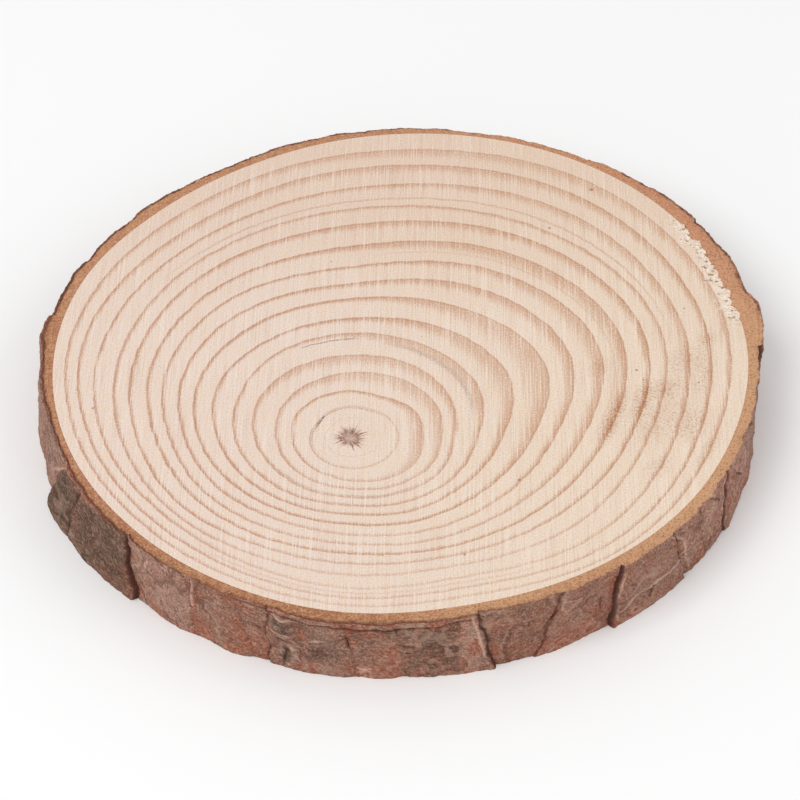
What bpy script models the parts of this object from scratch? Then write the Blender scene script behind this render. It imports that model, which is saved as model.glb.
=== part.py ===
# A crosswise slice of a young pine stem, lying flat: a disc of pale wood in a ring of flaky bark.
# Lengths are in millimetres and directions in degrees, anticlockwise from +X about the middle.
import math
import random

import bmesh
import bpy

THICKNESS = 10.0
BARK_GAP = 0.3                        # clearance between the wood and the bark
METRES = 0.001                        # one millimetre

# The stem grew more on one side, so the pith lies off the middle
PITH_X = -7.0
PITH_Y = -15.6
PITH_RADIUS = 1.6
PITH_FLOOR_RADIUS = 0.8
PITH_DEPTH = 0.35                     # the soft pith has shrunk below both cut faces
PITH_RAYS = 9
RAY_REACH = 0.45                      # how far a ray runs past the pith, as a share of its radius

# Distances from the middle, one for every 20 degrees
WOOD_EDGE = (44.5, 45.3, 45.9, 46.4, 46.1, 45.6, 45.0, 44.7, 45.4,
             45.9, 46.0, 46.2, 46.4, 46.4, 45.3, 45.1, 45.0, 44.9)
BARK_TOP = (46.3, 47.8, 48.6, 47.8, 47.4, 47.0, 46.0, 46.3, 47.1,
            47.6, 47.3, 47.8, 47.6, 48.0, 46.8, 46.4, 46.1, 45.7)
BARK_FOOT = (46.3, 47.8, 48.5, 47.9, 47.6, 47.2, 46.5, 46.8, 47.4,
             48.2, 48.0, 48.0, 47.8, 47.5, 46.8, 46.4, 46.1, 46.1)

# Bark plates in order round the ring. Each gives the direction of its first edge at the top and
# at the foot, how far it stands out of the ring there and at the edge where it ends, and the
# share of that which it keeps up at the cut.
PLATES = (
    (2.5, 1.0, 0.6, 1.0, 1.0),
    (13.5, 14.5, 0.1, 0.2, 0.5),
    (24.0, 23.0, 0.2, 0.1, 0.5),
    (170.5, 171.5, 0.3, 0.8, 1.0),
    (177.5, 176.5, 0.0, 0.2, 0.5),
    (184.0, 182.5, 0.3, 0.1, 0.5),
    (193.0, 191.0, -0.1, 0.0, 0.5),
    (205.5, 199.0, 1.3, 1.3, 0.15),
    (211.3, 208.8, 1.1, 0.6, 0.15),
    (223.8, 225.6, -0.3, 0.3, 0.8),
    (236.3, 237.2, -0.1, 0.4, 0.5),
    (243.4, 247.6, -0.3, -0.2, 0.8),
    (249.4, 249.4, 0.1, 0.2, 0.5),
    (254.4, 254.8, 0.4, 0.3, 0.5),
    (261.6, 262.6, 0.0, 0.2, 0.5),
    (268.8, 269.8, 0.0, 0.4, 0.5),
    (280.3, 283.5, -0.3, 0.0, 0.6),
    (294.4, 289.6, 0.2, -0.3, 1.0),
    (304.6, 303.2, 0.6, 0.5, 0.5),
    (315.4, 319.2, 0.0, 0.4, 0.6),
    (322.6, 324.8, 0.3, 0.1, 0.5),
    (331.6, 331.0, 0.4, 0.1, 0.5),
    (343.4, 340.6, 0.1, 0.1, 0.5),
    (352.0, 351.5, -0.1, -0.2, 0.5),
)
SEEDED_AFTER = 2                      # the far side's plates come after this one, by a seeded rule
SEEDED_WIDTH = (7.0, 15.0)
SEEDED_LEAN = 2.5
SEEDED_STAND = (-0.2, 0.6)
SEEDED_TOP_SHARE = 0.5
SEED = 11

# Knots, loose scales and flaked hollows on the plates: direction, height, half the width in
# degrees, half the height, and how far each is raised or sunk
SCALES = (
    (196.0, 3.0, 3.0, 2.6, 0.1),
    (203.5, 2.6, 3.0, 2.2, 0.4),
    (230.0, 2.2, 2.5, 1.8, 0.15),
    (251.6, 7.6, 1.7, 1.9, 0.35),
    (252.6, 2.6, 1.5, 2.2, 0.2),
    (270.6, 5.2, 1.6, 1.1, 0.25),
    (265.4, 1.6, 2.2, 1.4, -0.2),
    (297.0, 1.2, 4.6, 1.3, -0.15),
    (307.6, 2.1, 4.2, 2.2, -0.3),
    (314.0, 1.7, 3.0, 1.8, -0.2),
    (326.6, 8.2, 2.6, 1.4, 0.3),
    (336.4, 5.6, 2.2, 2.0, -0.3),
)
SEEDED_SCALES = 16
SEEDED_SCALE_ARC = (20.0, 180.0)
SEEDED_SCALE_HALF_WIDTH = (1.5, 4.0)
SEEDED_SCALE_HALF_HEIGHT = (1.0, 2.4)
SEEDED_SCALE_RISES = (-0.3, -0.2, 0.2, 0.3)

# Where a broad flake broke off, the rim falls away from the cut
CHIP_MIDDLE = 32.0
CHIP_HALF_WIDTH = 26.0
CHIP_DEPTH = 0.4

PLATE_DOME = 0.15                     # a plate's middle stands this far past its edges
SEAM_DEPTH = 0.16                     # the groove between plates
SEAM_HALF_WIDTH = 0.24
SEAM_WAVES = ((0.3, 0.5, 2.4), (0.15, 1.3, 4.1))   # degrees, lean with height, step per seam
RIPPLE = 0.05
RIPPLE_WAVES = ((61, 1.3, 0.0), (37, -2.1, 1.0))   # waves round the ring, lean and phase
OUTER_ROWS = 11
DEGREES_PER_COLUMN = 1.25
WOOD_SIDES = 144
MERGE_DISTANCE = 0.0001
REACH_STEPS = 12                      # enough for the wood's side to be met to a micrometre

WOOD_COLOUR = (0.77, 0.62, 0.50)
WOOD_ROUGHNESS = 0.65
WOOD_SHARP_ANGLE = 5.0                # the cut faces stay flat up to the pith's hollow
BARK_COLOUR = (0.19, 0.11, 0.075)
BARK_ROUGHNESS = 0.85
BARK_SHARP_ANGLE = 40.0


def around(radii, direction):
    """Radius at a direction, on a smooth closed curve through evenly spaced radii."""
    place = direction % 360.0 / 360.0 * len(radii)
    index = int(place)
    t = place - index
    a, b, c, d = (radii[(index + k) % len(radii)] for k in (-1, 0, 1, 2))
    return b + 0.5 * t * (c - a + t * (2 * a - 5 * b + 4 * c - d + t * (3 * (b - c) + d - a)))


def all_plates(rng):
    """The listed plates, with seeded ones filling the far side."""
    first = PLATES[SEEDED_AFTER]
    last = PLATES[SEEDED_AFTER + 1]
    seeded = []
    place = first[0] + rng.uniform(*SEEDED_WIDTH)
    while place < last[0] - SEEDED_WIDTH[0]:
        lean = rng.uniform(-SEEDED_LEAN, SEEDED_LEAN)
        start = rng.uniform(*SEEDED_STAND)
        end = rng.uniform(*SEEDED_STAND)
        seeded.append((place, place + lean, start, end, SEEDED_TOP_SHARE))
        place += rng.uniform(*SEEDED_WIDTH)
    return PLATES[:SEEDED_AFTER + 1] + tuple(seeded) + PLATES[SEEDED_AFTER + 1:]


def all_scales(rng):
    """The listed scales, with seeded ones on the far side."""
    first, last = SEEDED_SCALE_ARC
    seeded = []
    for k in range(SEEDED_SCALES):
        direction = first + (last - first) * (k + rng.random()) / SEEDED_SCALES
        half_width = rng.uniform(*SEEDED_SCALE_HALF_WIDTH)
        half_height = rng.uniform(*SEEDED_SCALE_HALF_HEIGHT)
        height = rng.uniform(half_height, THICKNESS - half_height)
        rise = rng.choice(SEEDED_SCALE_RISES)
        seeded.append((direction, height, half_width, half_height, rise))
    return SCALES + tuple(seeded)


def seam(plates, index, height):
    """Direction of a plate's first edge at a height; past the last plate it goes on round."""
    turns, place = divmod(index, len(plates))
    top, foot = plates[place][:2]
    stray = sum(size * math.sin(lean * height + step * place) for size, lean, step in SEAM_WAVES)
    return foot + (top - foot) * height / THICKNESS + stray + 360.0 * turns


def bark_columns(plates):
    """One entry for each column of points up the bark: its plate and its place across it, from
    0 on the seam where the plate starts, to 1."""
    columns = []
    for index in range(len(plates)):
        first = seam(plates, index, THICKNESS / 2)
        width = seam(plates, index + 1, THICKNESS / 2) - first
        inset = SEAM_HALF_WIDTH / (math.radians(width) * around(BARK_FOOT, first))
        count = max(2, round(width / DEGREES_PER_COLUMN))
        columns.append((index, 0.0))
        columns += [(index, inset + (1 - 2 * inset) * k / (count - 1)) for k in range(count)]
    return columns


def plate_stand(plates, index, across, height):
    """How far a plate stands out of the ring, or its seam sinks below both neighbours."""
    start, end, share = plates[index][2:]
    kept = 1 + (share - 1) * height / THICKNESS
    if across > 0:
        return (start + (end - start) * across + PLATE_DOME * 4 * across * (1 - across)) * kept
    before, before_share = plates[index - 1][3:]
    before *= 1 + (before_share - 1) * height / THICKNESS
    return min(before, start * kept) - SEAM_DEPTH


def scale_rise(scales, direction, height):
    """How far the knots, scales and hollows move the bark's face at one point."""
    rise = 0.0
    for middle, level, half_width, half_height, amount in scales:
        across = ((direction - middle + 180.0) % 360.0 - 180.0) / half_width
        reach = math.hypot(across, (height - level) / half_height)
        rise += amount * min(1.0, max(0.0, 2.0 * (1.0 - reach)))
    return rise


def chip(direction):
    """Depth of the broken rim below the cut."""
    offset = ((direction - CHIP_MIDDLE + 180.0) % 360.0 - 180.0) / CHIP_HALF_WIDTH
    return CHIP_DEPTH * math.cos(math.pi / 2 * offset) ** 2 if abs(offset) < 1 else 0.0


def ripple(direction, height):
    """Fine unevenness of the bark's outer face."""
    angle = math.radians(direction)
    return sum(RIPPLE * math.sin(waves * angle + lean * height + phase)
               for waves, lean, phase in RIPPLE_WAVES)


def spun(profile, steps, closed):
    """A profile of (distance, height) pairs turned once round +Z."""
    bm = bmesh.new()
    points = [bm.verts.new((distance, 0.0, height)) for distance, height in profile]
    edges = [bm.edges.new(pair) for pair in zip(points, points[1:])]
    if closed:
        edges.append(bm.edges.new((points[-1], points[0])))
    bmesh.ops.spin(bm, geom=points + edges, cent=(0, 0, 0), axis=(0, 0, 1), dvec=(0, 0, 0),
                   angle=2 * math.pi, steps=steps, use_merge=True)
    return bm


def plain_material(name, colour, roughness):
    """A Principled BSDF with one colour."""
    material = bpy.data.materials.new(name)
    material.use_nodes = True
    shader = material.node_tree.nodes["Principled BSDF"]
    shader.inputs["Base Color"].default_value = (*colour, 1.0)
    shader.inputs["Roughness"].default_value = roughness
    shader.inputs["Metallic"].default_value = 0.0
    return material


def add_part(name, bm, material, sharp_angle, collection):
    """The finished object, in metres, with its faces pointing out."""
    bmesh.ops.remove_doubles(bm, verts=bm.verts, dist=MERGE_DISTANCE)
    bmesh.ops.recalc_face_normals(bm, faces=bm.faces)
    bmesh.ops.scale(bm, vec=(METRES, METRES, METRES), verts=bm.verts)
    mesh = bpy.data.meshes.new(name)
    bm.to_mesh(mesh)
    bm.free()
    mesh.materials.append(material)
    mesh.shade_smooth()
    mesh.set_sharp_from_angle(angle=math.radians(sharp_angle))
    part = bpy.data.objects.new(name, mesh)
    collection.objects.link(part)
    return part


def wood_reach(angle):
    """Distance from the pith to the wood's side, in a direction given in radians."""
    reach = 0.0
    for _ in range(REACH_STEPS):
        x = PITH_X + reach * math.cos(angle)
        y = PITH_Y + reach * math.sin(angle)
        edge = around(WOOD_EDGE, math.degrees(math.atan2(y, x))) - BARK_GAP / 2
        reach += edge - math.hypot(x, y)
    return reach


def build_wood(collection):
    """The disc, with a shallow rayed hollow in each face where the pith is."""
    rim = max(WOOD_EDGE)
    floor = THICKNESS - PITH_DEPTH
    profile = ((0, floor), (PITH_FLOOR_RADIUS, floor), (PITH_RADIUS, THICKNESS), (rim, THICKNESS),
               (rim, 0), (PITH_RADIUS, 0), (PITH_FLOOR_RADIUS, PITH_DEPTH), (0, PITH_DEPTH))
    bm = spun(profile, WOOD_SIDES, closed=False)
    for vert in bm.verts:
        distance = math.hypot(vert.co.x, vert.co.y)
        angle = math.atan2(vert.co.y, vert.co.x)
        if distance > rim / 2:
            distance = wood_reach(angle)
        else:
            distance *= 1 + RAY_REACH * max(0.0, math.cos(PITH_RAYS * angle))
        vert.co.x = PITH_X + distance * math.cos(angle)
        vert.co.y = PITH_Y + distance * math.sin(angle)
    material = plain_material("pale_wood", WOOD_COLOUR, WOOD_ROUGHNESS)
    return add_part("wood", bm, material, WOOD_SHARP_ANGLE, collection)


def build_bark(collection):
    """The ring: a section spun round the wood, its outer face raised in plates."""
    rng = random.Random(SEED)
    plates = all_plates(rng)
    scales = all_scales(rng)
    columns = bark_columns(plates)
    # Both faces are spun at a plain distance first, then each point moves to its own
    inner, outer = min(WOOD_EDGE), max(BARK_TOP)
    rows = [(outer, THICKNESS * k / (OUTER_ROWS - 1)) for k in range(OUTER_ROWS)]
    bm = spun([(inner, 0), (inner, THICKNESS)] + rows[::-1], len(columns), closed=True)
    for vert in bm.verts:
        turn = math.degrees(math.atan2(vert.co.y, vert.co.x)) / 360.0 % 1.0
        index, across = columns[round(turn * len(columns)) % len(columns)]
        height = vert.co.z
        up = height / THICKNESS
        inside = math.hypot(vert.co.x, vert.co.y) < (inner + outer) / 2
        # The inner face runs straight up, while the seams lean and wander outside
        level = THICKNESS / 2 if inside else height
        start, end = seam(plates, index, level), seam(plates, index + 1, level)
        direction = start + (end - start) * across
        if inside:
            radius = around(WOOD_EDGE, direction) + BARK_GAP / 2
        else:
            ring = around(BARK_FOOT, direction) * (1 - up) + around(BARK_TOP, direction) * up
            stand = plate_stand(plates, index, across, height)
            rise = scale_rise(scales, direction, height) + ripple(direction, height)
            radius = ring + stand + rise
            vert.co.z -= chip(direction) * up
        vert.co.x = radius * math.cos(math.radians(direction))
        vert.co.y = radius * math.sin(math.radians(direction))
    material = plain_material("flaky_bark", BARK_COLOUR, BARK_ROUGHNESS)
    return add_part("bark", bm, material, BARK_SHARP_ANGLE, collection)


def clear_scene():
    for item in list(bpy.data.objects):
        bpy.data.objects.remove(item, do_unlink=True)


clear_scene()
slice_parts = bpy.data.collections.new("wood_slice")
bpy.context.scene.collection.children.link(slice_parts)
build_wood(slice_parts)
build_bark(slice_parts)
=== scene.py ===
import math
import random

import bmesh
import bpy
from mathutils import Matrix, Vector, noise


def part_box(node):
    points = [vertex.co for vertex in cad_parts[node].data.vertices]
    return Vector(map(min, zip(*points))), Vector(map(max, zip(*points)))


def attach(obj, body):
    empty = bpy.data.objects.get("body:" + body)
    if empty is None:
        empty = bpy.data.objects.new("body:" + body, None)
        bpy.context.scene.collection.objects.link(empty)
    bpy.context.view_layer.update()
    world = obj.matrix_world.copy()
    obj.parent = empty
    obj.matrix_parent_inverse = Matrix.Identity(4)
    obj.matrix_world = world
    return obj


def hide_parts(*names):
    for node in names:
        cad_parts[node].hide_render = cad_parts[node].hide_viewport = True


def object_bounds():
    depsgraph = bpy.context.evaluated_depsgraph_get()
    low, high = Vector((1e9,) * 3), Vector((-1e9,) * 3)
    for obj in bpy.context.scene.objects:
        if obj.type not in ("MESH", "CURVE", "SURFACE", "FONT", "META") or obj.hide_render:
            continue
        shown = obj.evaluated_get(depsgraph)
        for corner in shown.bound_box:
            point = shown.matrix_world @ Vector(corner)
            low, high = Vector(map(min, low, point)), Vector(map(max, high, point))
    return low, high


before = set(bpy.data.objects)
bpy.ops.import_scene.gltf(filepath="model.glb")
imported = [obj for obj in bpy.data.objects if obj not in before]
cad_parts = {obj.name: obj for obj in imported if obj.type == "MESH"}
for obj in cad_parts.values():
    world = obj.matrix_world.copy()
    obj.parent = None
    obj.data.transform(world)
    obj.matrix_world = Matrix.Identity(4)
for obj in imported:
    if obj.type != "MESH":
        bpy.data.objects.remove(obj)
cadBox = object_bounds()
mm = 0.001
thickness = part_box("wood")[1].z / mm

# The stem's outline, read about the middle of the slice, one value for every 20 degrees
stem = {
    "woodEdge": (44.8, 45.1, 46.2, 46.6, 46.3, 45.5, 44.5, 44.5, 45.5,
                 45.9, 46.1, 46.2, 46.4, 46.3, 45.1, 44.8, 44.6, 44.4),
    "barkTop": (46.3, 47.8, 48.6, 47.8, 47.4, 47.0, 46.0, 46.3, 47.1,
                47.6, 47.3, 47.8, 47.6, 48.0, 46.8, 46.4, 46.1, 45.7),
    "barkFoot": (46.3, 47.8, 48.5, 47.9, 47.6, 47.2, 46.5, 46.8, 47.4,
                 48.2, 48.0, 48.0, 47.8, 47.5, 46.8, 46.4, 46.1, 46.1),
    "pith": (-7.0, -15.6),
    "torn": (22.0, 15.0, 0.8),    # middle, half width and raggedness of the torn edge
}


def around(values, direction):
    # a smooth closed curve through evenly spaced values
    place = direction % 360.0 / 360.0 * len(values)
    index = int(place)
    t = place - index
    a, b, c, d = (values[(index + k) % len(values)] for k in (-1, 0, 1, 2))
    return b + 0.5 * t * (c - a + t * (2 * a - 5 * b + 4 * c - d + t * (3 * (b - c) + d - a)))


def smoothStep(low, high, value):
    t = min(1.0, max(0.0, (value - low) / (high - low)))
    return t * t * (3 - 2 * t)


def turnBetween(first, second):
    # the signed turn from one direction to another
    return (first - second + 180.0) % 360.0 - 180.0


def tornShare(direction):
    # 1 where the wood's fibres were torn at its edge
    middle, halfWidth = stem["torn"][:2]
    return 1 - smoothStep(0.75, 1.1, abs(turnBetween(direction, middle)) / halfWidth)


def woodEdge(direction):
    # where the wood ends and the inner bark begins
    ragged = noise.fractal(Vector((direction * 0.55, 0.3, 0.8)), 0.7, 2.1, 3)
    return around(stem["woodEdge"], direction) + stem["torn"][2] * ragged * tornShare(direction)


def sheetMesh(columns, rows):
    # a flat grid, to be bent round into the piece
    bm = bmesh.new()
    bmesh.ops.create_grid(bm, x_segments=columns, y_segments=rows, size=1.0)
    return bm


def sheetPlace(vert, columns, rows):
    # the point's column and row in that grid
    return round((vert.co.x + 1) / 2 * columns), round((vert.co.y + 1) / 2 * rows)


def finishPiece(name, bm, material, sharpAngle):
    bmesh.ops.remove_doubles(bm, verts=bm.verts, dist=0.0001)
    bmesh.ops.recalc_face_normals(bm, faces=bm.faces)
    bmesh.ops.scale(bm, vec=(mm, mm, mm), verts=bm.verts)
    mesh = bpy.data.meshes.new(name)
    bm.to_mesh(mesh)
    bm.free()
    mesh.materials.append(material)
    mesh.shade_smooth()
    mesh.set_sharp_from_angle(angle=math.radians(sharpAngle))
    piece = bpy.data.objects.new(name, mesh)
    bpy.context.scene.collection.objects.link(piece)
    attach(piece, "root")
    print(name, len(mesh.polygons), "faces")
    return piece


# Shader helpers

def paint(red, green, blue):
    # an 8-bit screen colour as a linear one
    values = [c / 255 for c in (red, green, blue)]
    return [c / 12.92 if c <= 0.04045 else ((c + 0.055) / 1.055) ** 2.4 for c in values] + [1.0]


def feed(tree, socket, value):
    if isinstance(value, bpy.types.NodeSocket):
        tree.links.new(value, socket)
    else:
        socket.default_value = value


def maths(tree, operation, *values, clamp=False):
    node = tree.nodes.new("ShaderNodeMath")
    node.operation = operation
    node.use_clamp = clamp
    for socket, value in zip(node.inputs, values):
        feed(tree, socket, value)
    return node.outputs[0]


def vectorMaths(tree, operation, first, second=None, output="Vector"):
    node = tree.nodes.new("ShaderNodeVectorMath")
    node.operation = operation
    feed(tree, node.inputs[0], first)
    if second is not None:
        feed(tree, node.inputs["Scale" if operation == "SCALE" else 1], second)
    return node.outputs[output]


def times(tree, first, second, clamp=False):
    return maths(tree, "MULTIPLY", first, second, clamp=clamp)


def mixPaint(tree, factor, first, second):
    node = tree.nodes.new("ShaderNodeMix")
    node.data_type = "RGBA"
    feed(tree, node.inputs["Factor"], factor)
    feed(tree, node.inputs[6], first)
    feed(tree, node.inputs[7], second)
    return node.outputs[2]


def coat(tree, colour, mask, tone):
    # a screen colour laid over another colour where the mask is 1
    return mixPaint(tree, mask, colour, paint(*tone))


def coats(tree, colour, layers):
    # several coats: each one's mask, where that fades in, how strong it gets, and its screen colour
    for mask, low, high, most, tone in layers:
        colour = coat(tree, colour, fade(tree, mask, low, high, (0.0, most)), tone)
    return colour


def fade(tree, value, low, high, out=(0.0, 1.0)):
    node = tree.nodes.new("ShaderNodeMapRange")
    node.interpolation_type = "SMOOTHSTEP"
    for socket, number in zip(node.inputs, (value, low, high, *out)):
        feed(tree, socket, number)
    return node.outputs[0]


def stretched(tree, vector, scale):
    node = tree.nodes.new("ShaderNodeMapping")
    feed(tree, node.inputs["Vector"], vector)
    node.inputs["Scale"].default_value = scale
    return node.outputs[0]


def cloud(tree, vector, scale, detail=2.0, rough=0.5):
    node = tree.nodes.new("ShaderNodeTexNoise")
    feed(tree, node.inputs["Vector"], vector)
    feed(tree, node.inputs["Scale"], scale)
    node.inputs["Detail"].default_value = detail
    node.inputs["Roughness"].default_value = rough
    return node.outputs["Fac"]


def ownValue(tree, name):
    node = tree.nodes.new("ShaderNodeAttribute")
    node.attribute_name = name
    return node.outputs["Fac"]


def pieceMillimetres(tree):
    # the piece's own coordinates, in millimetres
    place = tree.nodes.new("ShaderNodeTexCoord")
    return vectorMaths(tree, "SCALE", place.outputs["Object"], 1 / mm)


def placeGroup(tree, group, **values):
    node = tree.nodes.new("ShaderNodeGroup")
    node.node_tree = group
    for name, value in values.items():
        feed(tree, node.inputs[name], value)
    return node


def newGroup(name, inputs, outputs):
    tree = bpy.data.node_groups.new(name, "ShaderNodeTree")
    for socketName, kind in inputs:
        tree.interface.new_socket(name=socketName, in_out="INPUT", socket_type=kind)
    for socketName, kind in outputs:
        tree.interface.new_socket(name=socketName, in_out="OUTPUT", socket_type=kind)
    return tree, tree.nodes.new("NodeGroupInput"), tree.nodes.new("NodeGroupOutput")


def newMaterial(name, roughness, specular=0.5):
    material = bpy.data.materials.new(name)
    material.use_nodes = True
    tree = material.node_tree
    shader = tree.nodes["Principled BSDF"]
    shader.inputs["Roughness"].default_value = roughness
    shader.inputs["Specular IOR Level"].default_value = specular
    return material, tree, shader


def addBump(tree, shader, height, strength, distance):
    bump = tree.nodes.new("ShaderNodeBump")
    bump.inputs["Strength"].default_value = strength
    bump.inputs["Distance"].default_value = distance * mm
    feed(tree, bump.inputs["Height"], height)
    tree.links.new(bump.outputs[0], shader.inputs["Normal"])


# Effects that the wood and the bark share

def makeSawMarks():
    # the saw's parallel scratches, several to a millimetre, and broad bands about a millimetre wide
    tree, entry, leave = newGroup("sawMarks", [("Vector", "NodeSocketVector"), ("Lean", "NodeSocketFloat")],
                                  [("Mask", "NodeSocketFloat"), ("Broad", "NodeSocketFloat")])
    turn = tree.nodes.new("ShaderNodeVectorRotate")
    turn.rotation_type = "Z_AXIS"
    feed(tree, turn.inputs["Vector"], entry.outputs["Vector"])
    feed(tree, turn.inputs["Angle"], entry.outputs["Lean"])
    fine = cloud(tree, stretched(tree, turn.outputs[0], (7.0, 0.1, 1.0)), 1.0, 1.5, 0.6)
    broad = cloud(tree, stretched(tree, turn.outputs[0], (0.9, 0.05, 1.0)), 1.0, 2.0, 0.5)
    feed(tree, leave.inputs["Mask"], fine)
    feed(tree, leave.inputs["Broad"], broad)
    return tree


def makeGrit():
    # grains of two sizes, for colour and for height
    tree, entry, leave = newGroup("grit", [("Vector", "NodeSocketVector"), ("Scale", "NodeSocketFloat")],
                                  [("Grain", "NodeSocketFloat"), ("Clump", "NodeSocketFloat")])
    grain = cloud(tree, entry.outputs["Vector"], entry.outputs["Scale"], 2.0, 0.65)
    slower = times(tree, entry.outputs["Scale"], 0.3)
    clump = cloud(tree, entry.outputs["Vector"], slower, 3.0, 0.6)
    feed(tree, leave.inputs["Grain"], grain)
    feed(tree, leave.inputs["Clump"], clump)
    return tree


sawMarks = makeSawMarks()
grit = makeGrit()
print("shared effects ready")

# Each growth ring, from the newest inwards: how far its dark edge lies from the pith, for every
# 30 degrees, then how wide its dark band grows, in which direction and how far to either side,
# and how strong it is at the back and at the front
rings = (
    ((46.5, 55.7, 60.5, 57.2, 49.7, 42.3, 34.9, 30.0, 28.3, 29.1, 31.5, 39.0), 2.0, 68, 45, 0.8, 0.35),
    ((44.3, 52.6, 57.0, 53.8, 46.5, 40.3, 33.3, 28.6, 27.0, 27.9, 30.0, 37.3), 1.8, 75, 45, 0.9, 0.4),
    ((41.4, 49.4, 53.2, 49.6, 43.6, 37.6, 31.6, 27.0, 25.4, 26.3, 28.2, 35.0), 1.6, 52, 40, 0.85, 0.3),
    ((38.0, 46.2, 48.1, 45.1, 40.3, 34.6, 29.3, 25.8, 23.8, 24.1, 26.1, 31.9), 0.8, 60, 60, 0.75, 0.35),
    ((35.7, 43.7, 45.3, 41.7, 37.7, 32.4, 27.3, 24.3, 22.1, 22.2, 24.3, 29.1), 1.6, 62, 50, 1.0, 0.5),
    ((32.6, 40.4, 41.4, 37.2, 34.3, 29.8, 24.9, 22.2, 20.6, 20.5, 22.7, 26.8), 2.4, 48, 42, 1.0, 0.75),
    ((29.6, 36.9, 37.2, 33.0, 31.2, 27.5, 23.1, 20.6, 19.0, 18.9, 21.0, 24.2), 2.3, 32, 38, 0.9, 0.5),
    ((26.0, 32.6, 33.1, 29.5, 28.1, 25.0, 21.2, 18.8, 17.2, 17.3, 19.2, 21.8), 1.9, 45, 42, 0.95, 0.5),
    ((23.2, 28.8, 28.5, 26.5, 25.0, 22.6, 19.4, 17.0, 15.6, 15.6, 17.2, 19.4), 3.9, 35, 36, 0.95, 0.85),
    ((19.4, 23.4, 23.8, 22.5, 21.4, 19.8, 17.0, 15.1, 14.0, 13.8, 15.3, 16.8), 2.8, 40, 36, 0.95, 0.72),
    ((16.3, 18.9, 19.7, 19.6, 18.6, 16.5, 14.8, 13.3, 12.5, 12.3, 13.6, 15.0), 2.4, 50, 38, 0.8, 0.65),
    ((13.3, 14.7, 15.6, 15.3, 14.8, 13.7, 12.3, 11.2, 10.9, 10.9, 11.9, 13.0), 2.2, 78, 55, 0.85, 0.5),
    ((11.7, 12.5, 12.5, 12.0, 11.3, 10.4, 9.5, 9.2, 9.2, 9.4, 10.4, 11.4), 2.4, 62, 55, 0.75, 0.5),
    ((9.3, 9.5, 8.5, 8.5, 8.4, 8.1, 7.5, 7.4, 7.5, 7.9, 8.9, 9.5), 1.8, -2, 50, 0.85, 0.5),
    ((6.2, 6.1, 5.8, 5.7, 5.5, 5.0, 5.2, 5.4, 5.6, 5.8, 6.0, 6.1), 0.3, 0, 60, 0.35, 0.35),
)[::-1]
# Fine lines between the rings: place counted in rings from the pith, width, strength, the middle
# and half width of the stretch that shows, and whether it is a false ring or a crack, which is painted as a
# line of shade
fineLines = (
    (12.33, 0.3, 0.6, 78, 48, "falseRing"),
    (13.43, 0.3, 0.3, 272, 45, "falseRing"),
    (4.6, 0.6, 0.3, 45, 30, "crackShade"),
    (4.72, 0.18, 0.8, 100, 12, "crackShade"),
    (0.95, 0.22, 1.0, 143, 12, "crackShade"),
    (0.93, 0.14, 0.5, 120, 75, "crackShade"),
    (1.0, 0.14, 0.4, 200, 60, "crackShade"),
    (0.62, 0.12, 0.3, 200, 170, "falseRing"),
    (9.45, 0.3, 0.3, 45, 40, "falseRing"),
    (6.9, 0.3, 0.4, 128, 40, "falseRing"),
    (3.75, 0.3, 0.25, 262, 50, "crackShade"),
)
# Small dark specks: direction and distance from the pith, and radius
specks = (
    (56.2, 59.1, 0.3), (56.8, 48.9, 0.22), (29.0, 50.4, 0.15), (18.5, 39.1, 0.22), (15.6, 39.3, 0.14),
    (33.4, 58.1, 0.3), (24.8, 56.9, 0.35), (7.5, 46.4, 0.12), (12.6, 46.1, 0.16), (-55.4, 25.0, 0.2),
    (-20.0, 22.6, 0.22), (64.0, 21.0, 0.1), (95.0, 34.0, 0.12), (36.5, 59.6, 0.16), (171.0, 33.5, 0.2),
)
# Stained wood: direction, place in rings, half size in degrees and in rings, and depth
stains = (
    (5.5, 9.9, 9.0, 0.35, 1.3), (10.0, 10.9, 6.0, 0.35, 1.2), (12.5, 11.9, 3.0, 1.3, 0.5),
    (18.0, 12.8, 4.0, 1.0, 0.4), (3.0, 13.6, 5.0, 0.9, 0.4), (22.0, 8.9, 3.0, 0.5, 0.3),
    (5.0, 12.0, 8.0, 1.7, 0.35), (21.5, 13.9, 2.0, 0.5, 0.5), (-3.0, 14.8, 5.0, 0.4, 0.5),
    (14.0, 13.7, 6.0, 0.6, 0.35), (-8.0, 12.9, 4.0, 0.5, 0.35),
)

wood = {
    "columns": 720,
    "rowsInFirstRing": 14,
    "rowsPerRing": 3,
    "sideRows": 3,
    "thinBand": 0.55,             # width of a dark band on the slow side
    "frontMiddle": 283.0,         # direction of the side where the rings are faintest
    "frontSpread": 62.0,
    "pithRadius": 1.6,
    "pithDepth": 0.3,
    "pithRays": 9,
    "fringeDepth": 2.1,           # how far in from the edge the fibres are torn
    "sharpAngle": 30.0,
    "sawLean": 1.0,               # directions of the saw's scratches and of the fainter ones across
    "crossLean": 9.0,
    "grainScale": 4.2,
    "roughness": 0.72,
    "specular": 0.3,
    "bump": (0.4, 0.12),          # strength, and depth in millimetres
    "paints": {
        "pale": (226, 206, 192),
        "paleWarm": (228, 208, 187),
        "cream": (229, 204, 175),
        "back": (214, 184, 160),
        "late": (193, 142, 109),
        "lateWarm": (193, 141, 101),
        "core": (168, 112, 80),
        # painted shade along the cracks
        "crackShade": (122, 104, 96),
        "falseRing": (190, 146, 118),
        "stain": (172, 112, 70),
        "freckle": (158, 106, 70),
        "speck": (140, 88, 58),
        "tornWhite": (240, 228, 213),
        "tornGap": (188, 150, 118),
        # painted shade in the holes among the torn fibres
        "tornHoleShade": (140, 98, 64),
        "pithHalo": (190, 164, 154),
        "pithStar": (138, 84, 60),
    },
}


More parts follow.
